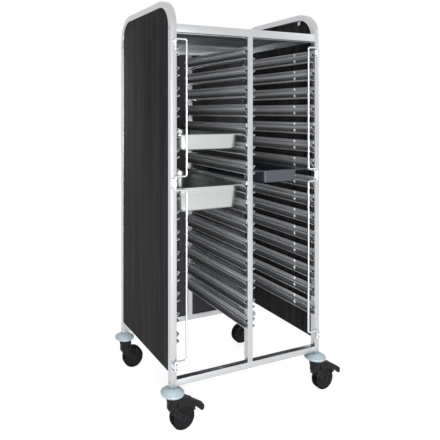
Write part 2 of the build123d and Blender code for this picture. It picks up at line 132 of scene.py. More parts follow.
class TrolleyRunners(bpy.types.PropertyGroup):
    """Sizes of the folded runners, in millimetres, as they are on the part."""

    count: IntProperty(name="Levels", description="Runners in each column", default=15, min=1)
    pitch: mm("Pitch", "Distance between levels", 80.5)
    top: mm("Top", "Height of the top runner's upper edge", RUNNERS_HIGH[2])
    flange: mm("Flange", "Height of the flat above the upper nose", 15.5)
    reach: mm("Reach", "How far the noses stand out from the post", 14.0)
    fall: mm("Fall", "Drop of each ledge from the post to its tip", 1.5)
    tip: mm("Tip", "Height of each nose's blunt tip", 2.0)
    upper_nose: mm("Upper nose", "Height of the upper nose", 15.5)
    valley: mm("Valley", "Height of the valley where the screws sit", 14.5)
    lower_nose: mm("Lower nose", "Height of the lower nose", 7.0)
    sheet: mm("Sheet", "Thickness of the sheet", 1.2)
    fold_radius: mm("Fold radius", "Inside radius of each fold", 0.95)
    flare: mm("Flare", "How far the noses open at the front end", 0.8)
    flare_length: mm("Flare length", "Length of the opened end", 14.0)
    front: mm("Front end", "Place of the front ends along Y", RUNNERS_LOW[1])
    back: mm("Back end", "Place of the back ends along Y", RUNNERS_HIGH[1])


class TrolleyFasteners(bpy.types.PropertyGroup):
    """Sizes of the screws, rivets and bolts, in millimetres."""

    screw_radius: mm("Screw head radius", "Radius of a runner screw's head", 3.1)
    screw_height: mm("Screw head height", "Height of a runner screw's head", 1.5)
    screw_front: mm("Front screws", "Place of the runners' front screws along Y", -262.5)
    screw_back: mm("Back screws", "Place of the runners' back screws along Y", 258.5)
    # The outer runners' rivets are white studs that stand for glints of light on the runners: painted
    # highlights
    rivet_radius: mm("Rivet head radius", "Radius of the rivets on the outer runners", 7.0)
    rivet_height: mm("Rivet head height", "Height of the rivets on the outer runners", 2.4)
    rivet_row: mm("Rivet row", "Place of these rivets along Y", -143.0)
    bolt_radius: mm("Bolt head radius", "Radius of a frame bolt's head", 5.0)
    bolt_height: mm("Bolt head height", "Height of a frame bolt's head", 2.4)


class TrolleyCasters(bpy.types.PropertyGroup):
    """Sizes of the back casters' open forks, in millimetres from the caster's stem and the floor."""

    fork_front: mm("Fork front", "Where the hood stops in front of the fork's neck", 27.0)
    fork_front_foot: mm("Fork front foot", "Height where the fork's front meets its arm", 77.7)
    arm_edge: mm("Arm edge", "Where the arm's front edge passes the hood's foot", 33.5)
    hood_foot: mm("Hood foot", "Height of the hood's lower edge", 71.5)
    fork_reach: mm("Reach", "Reach of the cut past the wheel", 120.0)
    fork_clear: mm("Clear height", "Height of the cut's top, above the hood", 150.0)
    fork_edge: mm("Edge radius", "Radius of the fork's moulded edges", 0.8)


class TrolleyStudio(bpy.types.PropertyGroup):
    """Camera and lamps."""

    lens: FloatProperty(
        name="Lens", description="Focal length for a sensor 36 mm wide", default=40.55, unit="CAMERA"
    )
    camera_place: FloatVectorProperty(
        name="Camera place",
        description="Place of the camera",
        default=(-1.2235, -2.0051, 1.2522),
        subtype="XYZ",
        unit="LENGTH",
    )
    camera_turn: FloatProperty(
        name="Camera turn",
        description="Turn of the camera about Z, from a view along +Y",
        default=-math.radians(23.567),
        subtype="ANGLE",
    )
    shift: FloatVectorProperty(
        name="Shift", description="Lens shift of the photograph's framing", size=2, default=(0.1645, -0.2467)
    )
    key_power: watts("Key lamp", "Power of the large lamp at the upper left", 34.0)
    fill_power: watts("Fill lamp", "Power of the lamp at the right", 6.0)
    front_power: watts("Front lamp", "Power of the lamp that lights the open bays", 112.0)
    world: FloatProperty(
        name="World", description="Strength of the soft light all round", default=0.62, min=0
    )


# Helpers

def setting(group):
    """One group of the scene's own values for this trolley."""
    return getattr(bpy.context.scene, f"trolley_{group}")


def linear(code):
    """An sRGB hex colour as linear RGBA."""
    channels = [int(code[k:k + 2], 16) / 255 for k in (0, 2, 4)]
    return [c / 12.92 if c <= 0.04045 else ((c + 0.055) / 1.055) ** 2.4 for c in channels] + [1.0]


def add_node(tree, kind, inputs=None, **settings):
    """Add a node with its settings and inputs, by name or number: a socket is linked, a value is set."""
    node = tree.nodes.new(kind)
    for key, value in settings.items():
        setattr(node, key, value)
    for key, value in (inputs or {}).items():
        if isinstance(value, bpy.types.NodeSocket):
            tree.links.new(value, node.inputs[key])
        else:
            node.inputs[key].default_value = value
    return node


def middle(node):
    """The middle of a node's box, in metres."""
    return [(low + high) / 2 for low, high in zip(*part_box(node))]


def post_face(column):
    """Where along X a column's runners meet their post, in millimetres."""
    low, high = box_mm(column)
    return low[0] if COLUMNS[column] > 0 else high[0]


def new_object(name, mesh):
    """An object for a mesh, in the scene, at the origin."""
    piece = bpy.data.objects.new(name, mesh)
    bpy.context.collection.objects.link(piece)
    return piece


def plain_mesh(piece):
    """Turn what a piece evaluates to into its own plain mesh and take its modifiers off."""
    evaluated = piece.evaluated_get(bpy.context.evaluated_depsgraph_get())
    mesh = bpy.data.meshes.new_from_object(evaluated)
    piece.modifiers.clear()
    piece.data = mesh
    return piece


def smooth(mesh, degrees=30):
    """Shade smooth, with edges sharper than an angle kept."""
    mesh.polygons.foreach_set("use_smooth", [True] * len(mesh.polygons))
    mesh.set_sharp_from_angle(angle=math.radians(degrees))


def stand_for(piece, node):
    """Put a piece in a node's place, with the node's material, slot and body."""
    piece.data.materials.clear()
    piece.data.materials.append(frame["nodes"][node].material_slots[0].material)
    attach(piece, BODY_OF[node])
    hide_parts(node)


def rounded_path(corners, radius, steps=4):
    """A path through 2D corners, each turned with an arc."""
    points = [Vector(corners[0])]
    for before, corner, after in zip(corners, corners[1:], corners[2:]):
        corner = Vector(corner)
        arriving = (Vector(before) - corner).normalized()
        leaving = (Vector(after) - corner).normalized()
        half = arriving.angle(leaving) / 2
        length = radius / math.tan(half)
        centre = corner + (arriving + leaving).normalized() * radius / math.sin(half)
        start = corner + arriving * length - centre
        end = corner + leaving * length - centre
        turn = start.angle_signed(end)
        for k in range(steps + 1):
            points.append(centre + Matrix.Rotation(-turn * k / steps, 2) @ start)
    return points + [Vector(corners[-1])]


# Materials

def new_material(name):
    """A material with its tree, shader and object coordinates."""
    material = bpy.data.materials.new(name)
    material.use_nodes = True
    tree = material.node_tree
    shader = next(node for node in tree.nodes if node.type == "BSDF_PRINCIPLED")
    coordinates = add_node(tree, "ShaderNodeTexCoord")
    return material, tree, shader, coordinates.outputs["Object"]


def repeats(size):
    """How many times a pattern of a size in millimetres repeats in a metre."""
    return 1 / (size * MM)


def shade(colour, factor):
    """A linear colour made lighter or darker."""
    return [min(1.0, c * factor) for c in colour[:3]] + [1.0]


def rough_from(tree, shader, value, low, high):
    """Vary the shader's roughness with a pattern, between two values."""
    spread = add_node(tree, "ShaderNodeMapRange", {"Value": value, "To Min": low, "To Max": high})
    tree.links.new(spread.outputs["Result"], shader.inputs["Roughness"])


def tint_from(tree, shader, value, first, second):
    """Vary the shader's colour with a pattern, between two linear colours."""
    # A mix node's colour sockets are 6 and 7, and its colour output is 2
    mix = add_node(tree, "ShaderNodeMix", {"Factor": value, 6: first, 7: second}, data_type="RGBA")
    tree.links.new(mix.outputs[2], shader.inputs["Base Color"])


def relief_from(tree, shader, value, depth, strength):
    """Give the surface a fine relief from a pattern, of a real depth in millimetres."""
    bump = add_node(tree, "ShaderNodeBump", {"Height": value, "Distance": depth * MM, "Strength": strength})
    tree.links.new(bump.outputs["Normal"], shader.inputs["Normal"])


def brushed_stainless(name, colour, roughness, grain, relief, metallic=1.0):
    """Stainless steel with the belt's fine lines along one axis, and faint cloudy wear in its gloss."""
    material, tree, shader, place = new_material(name)
    tone = linear(colour)
    # Lines are 0.8 mm apart where the real ones are about 0.1 mm, so that they show, and run 170 mm
    stretch = [repeats(166.7) if axis == grain else repeats(0.8333) for axis in "xyz"]
    lines_at = add_node(tree, "ShaderNodeMapping", {"Vector": place, "Scale": stretch})
    lines = add_node(
        tree,
        "ShaderNodeTexNoise",
        {"Vector": lines_at.outputs[0], "Scale": 1.0, "Detail": 3.0, "Roughness": 0.6},
    )
    # Hands and cloths leave clouds about 70 mm wide
    clouds = add_node(tree, "ShaderNodeTexNoise", {"Vector": place, "Scale": repeats(71.43), "Detail": 3.0})
    both = add_node(
        tree, "ShaderNodeMath", {0: lines.outputs["Fac"], 1: clouds.outputs["Fac"]}, operation="MULTIPLY"
    )
    shader.inputs["Metallic"].default_value = metallic
    tint_from(tree, shader, lines.outputs["Fac"], shade(tone, 0.93), shade(tone, 1.04))
    rough_from(tree, shader, both.outputs[0], roughness * 0.8, roughness * 1.35)
    relief_from(tree, shader, lines.outputs["Fac"], 0.03, relief)
    return material


def painted_fold_light(tree, place, runners):
    """Painted light and shade on the runners' sheet at each height: painted highlights on the noses' tips,
    painted shade on the ledges and in the valley.
    """
    upper_tip, upper_foot, valley_foot, lower_tip = nose_heights(runners)
    # The brightest stops are painted highlights and the darkest are painted shade
    painted_highlight, painted_shade = 1.0, 0.16
    # (millimetres under the runner's top edge, brightness of the painted light and shade), from the flange
    # down to the lower nose's foot
    stops = (
        (0.0, 0.7),
        (runners.flange - 0.6, 0.85),
        (runners.flange, painted_shade),
        (upper_tip - 0.1, painted_shade),
        (upper_tip, painted_highlight),
        (upper_tip + runners.tip * 2, painted_highlight),
        (upper_tip + runners.tip * 3, 0.95),
        (upper_foot - 0.5, 0.8),
        (upper_foot + 1.0, 0.2),
        (valley_foot - 0.2, 0.2),
        (valley_foot, painted_shade),
        (lower_tip - 0.1, painted_shade),
        (lower_tip, painted_highlight),
        (lower_tip + runners.tip * 2, painted_highlight),
        (valley_foot + runners.lower_nose, 0.9),
    )
    height = add_node(tree, "ShaderNodeSeparateXYZ", {0: place}).outputs["Z"]
    top = runners.top * MM
    levels = add_node(
        tree,
        "ShaderNodeMapRange",
        {"Value": height, "From Min": top, "From Max": top - runners.pitch * MM},
        clamp=False,
    )
    level = add_node(tree, "ShaderNodeMath", {0: levels.outputs[0]}, operation="FRACT")
    ramp = add_node(tree, "ShaderNodeValToRGB", {0: level.outputs[0]})
    marks = ramp.color_ramp.elements
    while len(marks) < len(stops):
        marks.new(1.0)
    for mark, (down, bright) in zip(marks, stops):
        mark.position = down / runners.pitch
        mark.color = (bright, bright, bright, 1.0)
    return ramp.outputs["Color"]


def rolled_stainless(name, colour, roughness, metallic, runners):
    """Bright cold-rolled sheet: mirror-like, with long streaks in its relief where the rolls leave the skin
    uneven, streaks and fine lines painted into its colour as painted reflections, and the painted light and
    shade of the folds.
    """
    material, tree, shader, place = new_material(name)
    tone = linear(colour)
    # Streaks about 5 mm apart run the whole length, with lines 1.7 mm apart between them, so that they show
    wide, run = repeats(4.762), repeats(2000)
    wide_at = add_node(tree, "ShaderNodeMapping", {"Vector": place, "Scale": (wide, run, wide)})
    fine, run = repeats(1.6667), repeats(1000)
    fine_at = add_node(tree, "ShaderNodeMapping", {"Vector": place, "Scale": (fine, run, fine)})
    streaks = add_node(
        tree, "ShaderNodeTexNoise", {"Vector": wide_at.outputs[0], "Scale": 1.0, "Detail": 1.0}
    )
    lines = add_node(tree, "ShaderNodeTexNoise", {"Vector": fine_at.outputs[0], "Scale": 1.0, "Detail": 2.0})
    both = add_node(
        tree, "ShaderNodeMath", {0: streaks.outputs["Fac"], 1: lines.outputs["Fac"]}, operation="ADD"
    )
    # The sum of two noises stays near 1, and this part of it runs from the dullest to the brightest streak
    spread = add_node(
        tree, "ShaderNodeMapRange", {"Value": both.outputs[0], "From Min": 0.82, "From Max": 1.18}
    )
    painted_reflection_streaks = add_node(
        tree, "ShaderNodeMapRange", {"Value": spread.outputs["Result"], "To Min": 0.45, "To Max": 1.0}
    )
    # The colour's streaks are painted reflections, multiplied by the painted light and shade of the folds
    bright = add_node(
        tree,
        "ShaderNodeMath",
        {0: painted_reflection_streaks.outputs["Result"], 1: painted_fold_light(tree, place, runners)},
        operation="MULTIPLY",
    )
    shader.inputs["Metallic"].default_value = metallic
    # The sheet's colour runs from nearly black in the painted shade to brighter than the sheet in the painted
    # highlights
    tint_from(tree, shader, bright.outputs[0], shade(tone, 0.02), shade(tone, 1.3))
    rough_from(tree, shader, bright.outputs[0], roughness * 1.3, roughness * 0.6)
    relief_from(tree, shader, streaks.outputs["Fac"], 0.4, 0.5)
    return material


def wood_grain_laminate(name, ground, grain):
    """High-pressure laminate printed black with upright ash grain: long pores and slow cathedral bands."""
    material, tree, shader, place = new_material(name)
    roughness = 0.5
    # Pores are 2.5 mm apart and some 90 mm long, and bands about 40 mm wide and 600 mm long
    pore = (repeats(2.5), repeats(2.5), repeats(90.91))
    band = (repeats(40), repeats(40), repeats(625))
    pores_at = add_node(tree, "ShaderNodeMapping", {"Vector": place, "Scale": pore})
    bands_at = add_node(tree, "ShaderNodeMapping", {"Vector": place, "Scale": band})
    pores = add_node(
        tree,
        "ShaderNodeTexNoise",
        {"Vector": pores_at.outputs[0], "Scale": 1.0, "Detail": 5.0, "Roughness": 0.65},
    )
    bands = add_node(
        tree,
        "ShaderNodeTexNoise",
        {"Vector": bands_at.outputs[0], "Scale": 1.0, "Detail": 2.0, "Distortion": 0.8},
    )
    both = add_node(
        tree, "ShaderNodeMath", {0: pores.outputs["Fac"], 1: bands.outputs["Fac"]}, operation="MULTIPLY"
    )
    print_depth = add_node(
        tree, "ShaderNodeMapRange", {"Value": both.outputs[0], "From Min": 0.14, "From Max": 0.42}
    )
    tint_from(tree, shader, print_depth.outputs["Result"], linear(ground), linear(grain))
    rough_from(tree, shader, pores.outputs["Fac"], roughness * 0.8, roughness * 1.3)
    relief_from(tree, shader, pores.outputs["Fac"], 0.08, 0.35)
    # The matt overlay keeps nearly all reflection off the print
    shader.inputs["Specular IOR Level"].default_value = 0.03
    return material


def moulded_plastic(name, colour, roughness, grit, relief, specular=0.5):
    """Injection-moulded plastic: one colour, a skin of fine grit from the mould, and uneven gloss."""
    material, tree, shader, place = new_material(name)
    tone = linear(colour)
    skin = add_node(tree, "ShaderNodeTexNoise", {"Vector": place, "Scale": repeats(grit), "Detail": 2.0})
    # Wear comes in patches about 30 mm wide
    wear = add_node(tree, "ShaderNodeTexNoise", {"Vector": place, "Scale": repeats(28.57), "Detail": 4.0})
    tint_from(tree, shader, wear.outputs["Fac"], shade(tone, 0.9), shade(tone, 1.1))
    rough_from(tree, shader, wear.outputs["Fac"], roughness * 0.85, roughness * 1.15)
    relief_from(tree, shader, skin.outputs["Fac"], 0.06, relief)
    shader.inputs["Specular IOR Level"].default_value = specular
    return material


def speckled_enamel(name, colour, roughness):
    """Vitreous enamel fired on steel: glassy, with pale specks about 1 mm across and a soft orange peel."""
    material, tree, shader, place = new_material(name)
    tone = linear(colour)
    # One speck to each cell of 2.4 mm, and waves of the peel 5.6 mm apart
    cells = add_node(
        tree, "ShaderNodeTexVoronoi", {"Vector": place, "Scale": repeats(2.381)}, feature="F1"
    )
    specks = add_node(
        tree,
        "ShaderNodeMapRange",
        {"Value": cells.outputs["Distance"], "From Min": 0.12, "From Max": 0.2, "To Min": 1.0, "To Max": 0.0},
    )
    peel = add_node(tree, "ShaderNodeTexNoise", {"Vector": place, "Scale": repeats(5.556), "Detail": 1.0})
    tint_from(tree, shader, specks.outputs["Result"], tone, shade(tone, 1.5))
    rough_from(tree, shader, peel.outputs["Fac"], roughness * 0.85, roughness * 1.2)
    relief_from(tree, shader, peel.outputs["Fac"], 0.05, 0.3)
    shader.inputs["Coat Weight"].default_value = 0.35
    shader.inputs["Coat Roughness"].default_value = 0.12
    return material


def make_materials():
    """Every material, by name."""
    look = setting("finishes")
    tube, sheet = look.tube_roughness, look.sheet_roughness
    made = {}
    for axis in "xz":
        made[f"tube_{axis}"] = brushed_stainless(
            f"satin stainless, grain along {axis}", look.tube_steel, tube, grain=axis, relief=0.25
        )
    made["top"] = brushed_stainless("satin stainless sheet", look.top_steel, 0.5, grain="y", relief=0.2)
    made["sheet_y"] = rolled_stainless(
        "bright rolled stainless", look.sheet_steel, sheet, look.sheet_metallic, setting("runners")
    )
    made["sheet_z"] = brushed_stainless(
        "bright stainless rod and strip", look.sheet_steel, sheet, grain="z", relief=0.1
    )
    made["pan"] = brushed_stainless("deep-drawn satin stainless", look.pan_steel, 0.36, grain="y", relief=0.1)
    made["zinc"] = brushed_stainless("zinc-plated steel", look.zinc, 0.38, grain="z", relief=0.05)
    # Near-white and hardly metallic, so that the rivets show as painted highlights
    made["blasted"] = brushed_stainless(
        "bead-blasted steel", look.blasted, 0.4, grain="z", relief=0.02, metallic=0.1
    )
    made["axle"] = brushed_stainless("blackened steel", look.axle, 0.45, grain="y", relief=0.05)
    made["laminate"] = wood_grain_laminate("black wood-grain laminate", look.laminate, look.laminate_grain)
    # The same laminate made lighter for the back panels: painted light inside the bays
    made["back_laminate"] = wood_grain_laminate("black wood-grain laminate, back", look.back, look.back_grain)
    made["enamel"] = speckled_enamel("dark blue-grey enamel", look.enamel, 0.3)
    made["bumper"] = moulded_plastic("pale soft vinyl", look.bumper, 0.3, grit=0.7, relief=0.15)
    made["nylon"] = moulded_plastic(
        "black moulded nylon", look.nylon, 0.46, grit=0.6, relief=0.4, specular=0.12
    )
    made["wheel"] = moulded_plastic(
        "dark moulded polypropylene", look.wheel, 0.42, grit=0.6, relief=0.3, specular=0.1
    )
    made["tyre"] = moulded_plastic("black rubber", look.tyre, 0.6, grit=0.9, relief=0.5, specular=0.04)
    # Dark hexagons on the screw heads: painted shade of a sunk drive
    made["recess"] = moulded_plastic("shadowed screw drive", look.recess, 0.6, grit=0.5, relief=0.1)
    return made


MATERIALS = {}
MATERIAL_OF_SLOT = {
    "satin_stainless": "tube_x",
    "bright_stainless": "sheet_y",
    "black_laminate": "laminate",
    "pan_stainless": "pan",
    "dark_enamel": "enamel",
    "grey_bumper_plastic": "bumper",
    "black_nylon": "nylon",
    "dark_wheel_plastic": "wheel",
    "black_tyre_rubber": "tyre",
    "zinc_steel": "zinc",
}
# Words in the names of stainless nodes whose grain runs upright
UPRIGHT = ("hoop", "centre_post", "guard_rod", "bracket", "clips")
# Ends of the names of nodes that look different from their slot
OWN_LOOK = {"top_sheet": "top", "_axle": "axle", "_back_panel": "back_laminate"}


class TROLLEY_OT_finishes(bpy.types.Operator):
    """Make the materials and give every part of the frame its own"""

    bl_idname = "trolley.finishes"
    bl_label = "Finishes"

    def execute(self, context):
        MATERIALS.update(make_materials())
        for node, slot in SLOT_OF.items():
            name = MATERIAL_OF_SLOT[slot]
            if any(word in node for word in UPRIGHT):
                name = name.split("_")[0] + "_z"
            for ending, own in OWN_LOOK.items():
                if node.endswith(ending):
                    name = own
            for material_slot in frame["nodes"][node].material_slots:
                material_slot.material = MATERIALS[name]
        return {"FINISHED"}


# Edges that bending, pressing and moulding leave round

SOFT_EDGES = (
    # (edge radius in millimetres, segments, nodes)
    (2.2, 3, ("left_side_hoop", "right_side_hoop", *RAILS, "front_centre_post", "back_centre_post")),
    (0.7, 2, ("guard_brackets",)),
    (0.5, 2, ("top_sheet",)),
    (0.4, 2, ("panel_clips",)),
    (0.6, 2, ("left_side_panel", "right_side_panel")),
    (0.5, 2, ("left_shallow_pan", "left_deep_pan", "right_shallow_pan")),
    (2.4, 4, ("front_left_brake_pedal", "front_right_brake_pedal")),
)
# Vertices this near, in millimetres, and faces this flat become one, and edges this sharp are rounded
MERGE = 0.02
FLAT = math.radians(0.8)
SHARP = math.radians(32)


def softened(node, radius, segments, cutter=None):
    """A copy of a node, with its triangles merged, a cutter's shape taken out and its edges rounded."""
    mesh = frame["nodes"][node].data.copy()
    shape = bmesh.new()
    shape.from_mesh(mesh)
    bmesh.ops.remove_doubles(shape, verts=shape.verts, dist=MERGE * MM)
    bmesh.ops.dissolve_limit(shape, angle_limit=FLAT, verts=shape.verts, edges=shape.edges)
    shape.to_mesh(mesh)
    shape.free()
    piece = new_object(f"{node}_rounded", mesh)
    if cutter:
        cut = piece.modifiers.new("cut", "BOOLEAN")
        cut.operation = "DIFFERENCE"
        cut.solver = "EXACT"
        cut.object = cutter
    bevel = piece.modifiers.new("edges", "BEVEL")
    bevel.width = radius * MM
    bevel.segments = segments
    bevel.limit_method = "ANGLE"
    bevel.angle_limit = SHARP
    plain_mesh(piece)
    smooth(piece.data)
    return piece


class TROLLEY_OT_rounded_parts(bpy.types.Operator):
    """Round the edges of tubes, brackets, pans and pedals as bending, pressing and moulding leave them"""

    bl_idname = "trolley.rounded_parts"
    bl_label = "Rounded parts"

    def execute(self, context):
        for radius, segments, nodes in SOFT_EDGES:
            for node in nodes:
                stand_for(softened(node, radius, segments), node)
        return {"FINISHED"}


def prism(name, outline, front, back):
    """A closed prism between two places along Y, from an outline of (x, z), all in metres."""
    shape = bmesh.new()
    face = shape.faces.new([shape.verts.new((x, front, z)) for x, z in outline])
    moved = bmesh.ops.extrude_face_region(shape, geom=[face])["geom"]
    far = [v for v in moved if isinstance(v, bmesh.types.BMVert)]
    bmesh.ops.translate(shape, verts=far, vec=(0.0, back - front, 0.0))
    bmesh.ops.recalc_face_normals(shape, faces=shape.faces)
    mesh = bpy.data.meshes.new(name)
    shape.to_mesh(mesh)
    shape.free()
    return new_object(name, mesh)


class TROLLEY_OT_open_forks(bpy.types.Operator):
    """Leave the back wheels bare in front of their forks: they have no brake and no hood"""

    bl_idname = "trolley.open_forks"
    bl_label = "Open forks"

    def execute(self, context):
        sizes = setting("casters")
        outline = (
            (sizes.fork_front, sizes.fork_clear),
            (sizes.fork_front, sizes.fork_front_foot),
            (sizes.arm_edge, sizes.hood_foot),
            (sizes.fork_reach, sizes.hood_foot),
            (sizes.fork_reach, sizes.fork_clear),
        )
        half = sizes.fork_reach * MM / 2
        for side in SIDES:
            stem, _, _ = middle(f"back_{side}_caster_stem")
            axle, y, _ = middle(f"back_{side}_axle")
            way = math.copysign(MM, axle - stem)
            cutter = prism("fork_cut", [(stem + way * x, z * MM) for x, z in outline], y - half, y + half)
            node = f"back_{side}_caster_housing"
            piece = softened(node, sizes.fork_edge, segments=2, cutter=cutter)
            bpy.data.objects.remove(cutter)
            stand_for(piece, node)
        return {"FINISHED"}


# Runners

def nose_heights(runners):
    """Depths under a runner's top edge: the upper nose's tip and foot, the valley's foot, the lower tip."""
    upper_foot = runners.flange + runners.upper_nose
    valley_foot = upper_foot + runners.valley
    return runners.flange + runners.fall, upper_foot, valley_foot, valley_foot + runners.fall


def runner_corners(runners, spread):
    """Corners of the runner's visible side, as (distance from the post, height over the top edge)."""
    upper_tip, upper_foot, valley_foot, lower_tip = nose_heights(runners)
    skin = runners.sheet
    return [
        (skin, 0.0),
        (skin, -runners.flange),
        (runners.reach, -upper_tip),
        (runners.reach, -upper_tip - runners.tip - spread),
        (skin, -upper_foot - spread),
        (skin, -valley_foot),
        (runners.reach, -lower_tip),
        (runners.reach, -lower_tip - runners.tip - spread),
        (skin, -valley_foot - runners.lower_nose - spread),
    ]


def runner_mesh(name, runners, face, way):
    """One folded runner at the top level, as an open sheet with rounded folds and an opened front end."""
    shape = bmesh.new()
    rows = []
    part_open = 0.35
    stations = [
        (runners.front, runners.flare),
        (runners.front + runners.flare_length / 2, runners.flare * part_open),
        (runners.front + runners.flare_length, 0.0),
        (runners.back, 0.0),
    ]
    for y, spread in stations:
        path = rounded_path(runner_corners(runners, spread), runners.fold_radius)
        places = [(face + way * p.x, y, runners.top + p.y) for p in path]
        rows.append([shape.verts.new([c * MM for c in place]) for place in places])
    for first, second in zip(rows, rows[1:]):
        for a, b, c, d in zip(first, first[1:], second[1:], second):
            shape.faces.new((a, d, c, b) if way > 0 else (a, b, c, d))
    mesh = bpy.data.meshes.new(name)
    shape.to_mesh(mesh)
    shape.free()
    return mesh


def geometry_tree(name, **inputs):
    """A Geometry Nodes tree with its inputs, each a name and a kind, and the sockets that give them."""
    tree = bpy.data.node_groups.new(name, "GeometryNodeTree")
    for label, kind in {"Geometry": "Geometry", **inputs}.items():
        tree.interface.new_socket(label, in_out="INPUT", socket_type=f"NodeSocket{kind}")
    tree.interface.new_socket("Geometry", in_out="OUTPUT", socket_type="NodeSocketGeometry")
    return tree, add_node(tree, "NodeGroupInput").outputs


def column_tree():
    """Geometry nodes that repeat one runner down its column."""
    tree, given = geometry_tree("runner column", Levels="Int", Pitch="Float", Material="Material")
    step = add_node(tree, "ShaderNodeMath", {0: given["Pitch"], 1: -1.0}, operation="MULTIPLY")
    down = add_node(tree, "ShaderNodeCombineXYZ", {"Z": step.outputs[0]})
    places = add_node(tree, "GeometryNodeMeshLine", {"Count": given["Levels"], "Offset": down.outputs[0]})
    placed = add_node(
        tree, "GeometryNodeInstanceOnPoints", {"Points": places.outputs[0], "Instance": given["Geometry"]}
    )
    real = add_node(tree, "GeometryNodeRealizeInstances", {"Geometry": placed.outputs[0]})
    dressed = add_node(
        tree, "GeometryNodeSetMaterial", {"Geometry": real.outputs[0], "Material": given["Material"]}
    )
    add_node(tree, "NodeGroupOutput", {0: dressed.outputs[0]})
    return tree


def use_tree(piece, tree, **values):
    """Put a geometry nodes tree on a piece, with its inputs, and keep the plain result."""
    modifier = piece.modifiers.new(tree.name, "NODES")
    modifier.node_group = tree
    for item in tree.interface.items_tree:
        if item.in_out == "INPUT" and item.name in values:
            modifier[item.identifier] = values[item.name]
    return plain_mesh(piece)


class TROLLEY_OT_runners(bpy.types.Operator):
    """Build the four columns of folded runners, with rounded folds and opened front ends"""

    bl_idname = "trolley.runners"
    bl_label = "Runners"

    def execute(self, context):
        runners = setting("runners")
        tree = column_tree()
        for node, way in COLUMNS.items():
            piece = new_object(f"{node}_folded", runner_mesh(node, runners, post_face(node), way))
            # The sheet gets its thickness on its hidden side
            wall = piece.modifiers.new("sheet", "SOLIDIFY")
            wall.thickness = runners.sheet * MM
            wall.offset = -1.0
            plain_mesh(piece)
            use_tree(
                piece, tree, Levels=runners.count, Pitch=runners.pitch * MM, Material=MATERIALS["sheet_y"]
            )
            smooth(piece.data, degrees=40)
            stand_for(piece, node)
        return {"FINISHED"}


# Fasteners

def fastener_tree():
    """Geometry nodes that set a low round head on each point, facing the point's way, with a hexagon on its
    crown in the drive's own material: a dark one is the painted shade of a sunk drive.
    """
    tree, given = geometry_tree(
        "fasteners", Radius="Float", Height="Float", Head="Material", Drive="Material"
    )
    radius, height = given["Radius"], given["Height"]
    # Each measure as a share of the head's radius or height
    shares = {
        "crown": (radius, 0.62),
        "drive": (radius, 0.42),
        "skirt": (height, 0.45),
        "dome": (height, 0.55),
        "skirt_middle": (height, 0.225),
        "drive_middle": (height, 0.79),
    }
    size = {
        name: add_node(tree, "ShaderNodeMath", {0: whole, 1: share}, operation="MULTIPLY").outputs[0]
        for name, (whole, share) in shares.items()
    }
    skirt = add_node(
        tree, "GeometryNodeMeshCylinder", {"Vertices": 20, "Radius": radius, "Depth": size["skirt"]}
    )
    dome = add_node(
        tree,
        "GeometryNodeMeshCone",
        {"Vertices": 20, "Radius Top": size["crown"], "Radius Bottom": radius, "Depth": size["dome"]},
    )
    drive = add_node(
        tree, "GeometryNodeMeshCylinder", {"Vertices": 6, "Radius": size["drive"], "Depth": size["skirt"]}
    )
    raised = []
    for part, up in ((skirt, "skirt_middle"), (dome, "skirt"), (drive, "drive_middle")):
        lift = add_node(tree, "ShaderNodeCombineXYZ", {"Z": size[up]})
        at = {"Geometry": part.outputs[0], "Translation": lift.outputs[0]}
        raised.append(add_node(tree, "GeometryNodeTransform", at).outputs[0])
    head = add_node(tree, "GeometryNodeJoinGeometry", {0: raised[0]})
    tree.links.new(raised[1], head.inputs[0])
    head_look = add_node(
        tree, "GeometryNodeSetMaterial", {"Geometry": head.outputs[0], "Material": given["Head"]}
    )
    drive_look = add_node(
        tree, "GeometryNodeSetMaterial", {"Geometry": raised[2], "Material": given["Drive"]}
    )
    whole = add_node(tree, "GeometryNodeJoinGeometry", {0: head_look.outputs[0]})
    tree.links.new(drive_look.outputs[0], whole.inputs[0])
    way = add_node(tree, "GeometryNodeInputNamedAttribute", {"Name": "way"}, data_type="FLOAT_VECTOR")
    turn = add_node(tree, "FunctionNodeAlignRotationToVector", {"Vector": way.outputs[0]}, axis="Z")
    placed = add_node(
        tree,
        "GeometryNodeInstanceOnPoints",
        {"Points": given["Geometry"], "Instance": whole.outputs[0], "Rotation": turn.outputs[0]},
    )
    real = add_node(tree, "GeometryNodeRealizeInstances", {"Geometry": placed.outputs[0]})
    add_node(tree, "NodeGroupOutput", {0: real.outputs[0]})
    return tree


def fasteners(name, places, tree, radius, height, head, drive=None):
    """Fasteners at (place in millimetres, way) pairs, as one piece of the frame."""
    mesh = bpy.data.meshes.new(name)
    mesh.from_pydata([[c * MM for c in place] for place, _ in places], [], [])
    ways = mesh.attributes.new("way", "FLOAT_VECTOR", "POINT")
    ways.data.foreach_set("vector", [c for _, way in places for c in way])
    piece = new_object(name, mesh)
    # Unless another is given, the drive is dark: painted shade of a sunk drive
    drive = drive or MATERIALS["recess"]
    use_tree(piece, tree, Radius=radius * MM, Height=height * MM, Head=head, Drive=drive)
    smooth(piece.data)
    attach(piece, "frame")
    return piece


def on_runners(columns, drops, rows):
    """Places on every runner of some columns, at drops under its top edge and in rows along Y."""
    runners = setting("runners")
    places = []
    for column in columns:
        way = COLUMNS[column]
        x = post_face(column) + way * runners.sheet
        for level in range(runners.count):
            edge = runners.top - level * runners.pitch
            places += [((x, y, edge - drop), (way, 0, 0)) for drop in drops for y in rows]
    return places


def on_frame():
    """Places of the bolts: through each hoop into each rail's end, and through each rail into its post."""
    _, hoop = box_mm("right_side_hoop")
    cross, upright = [], []
    for rail in RAILS:
        low, high = box_mm(rail)
        _, y, z = [(a + b) / 2 for a, b in zip(low, high)]
        way = 1 if "top" in rail else -1
        cross.append((y, z))
        upright.append(((0.0, y, high[2] if way > 0 else low[2]), (0, 0, way)))
    return [((side * hoop[0], y, z), (side, 0, 0)) for side in SIDES.values() for y, z in cross] + upright


